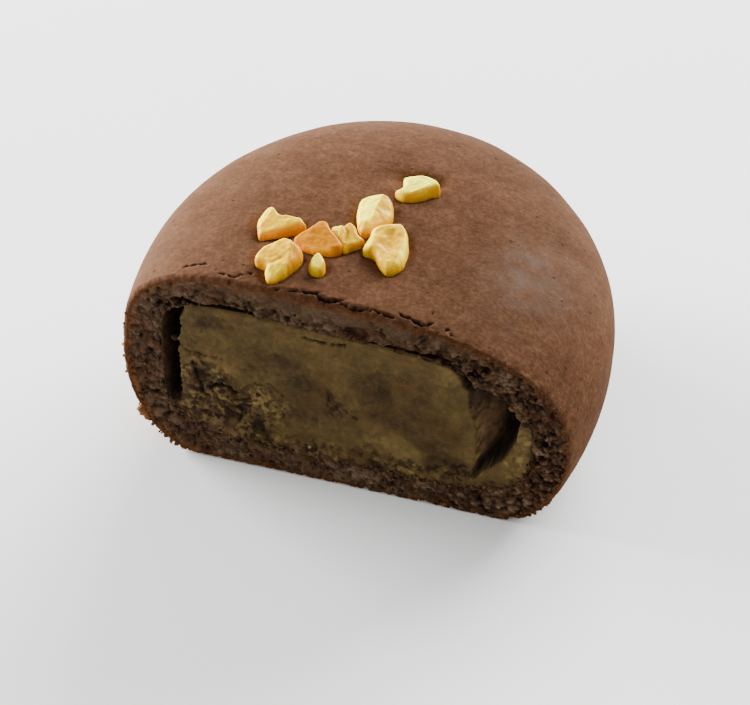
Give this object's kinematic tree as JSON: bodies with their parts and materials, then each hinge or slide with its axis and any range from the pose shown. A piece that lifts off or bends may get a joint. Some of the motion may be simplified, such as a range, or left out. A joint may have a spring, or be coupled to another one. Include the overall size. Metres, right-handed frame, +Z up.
{
  "type": "chocolate manju",
  "caption": "Chocolate manju with its front cut off: an oval cocoa bun whose flat cut face shows the bean-paste filling, with chopped nuts on top.",
  "frame": {"origin": "bottom centre of the whole part's box, on the flat base", "axes": "+Z up, +Y from the cut face back through the bun, +X to the right as the cut face is seen from the front"},
  "size_m": [0.051, 0.0418, 0.027],
  "materials": {
    "crust": "soft matt cocoa dough skin, dark and crumbly where cut",
    "crumb": "rough dark cocoa crumb of the cut dough",
    "filling": "dense olive-brown bean paste, smeared by the knife",
    "nuts": "golden chopped nuts with a slight oily gloss"
  },
  "bodies": {
    "root": {"crust": "crust", "filling": "filling"}
  },
  "joints": []
}
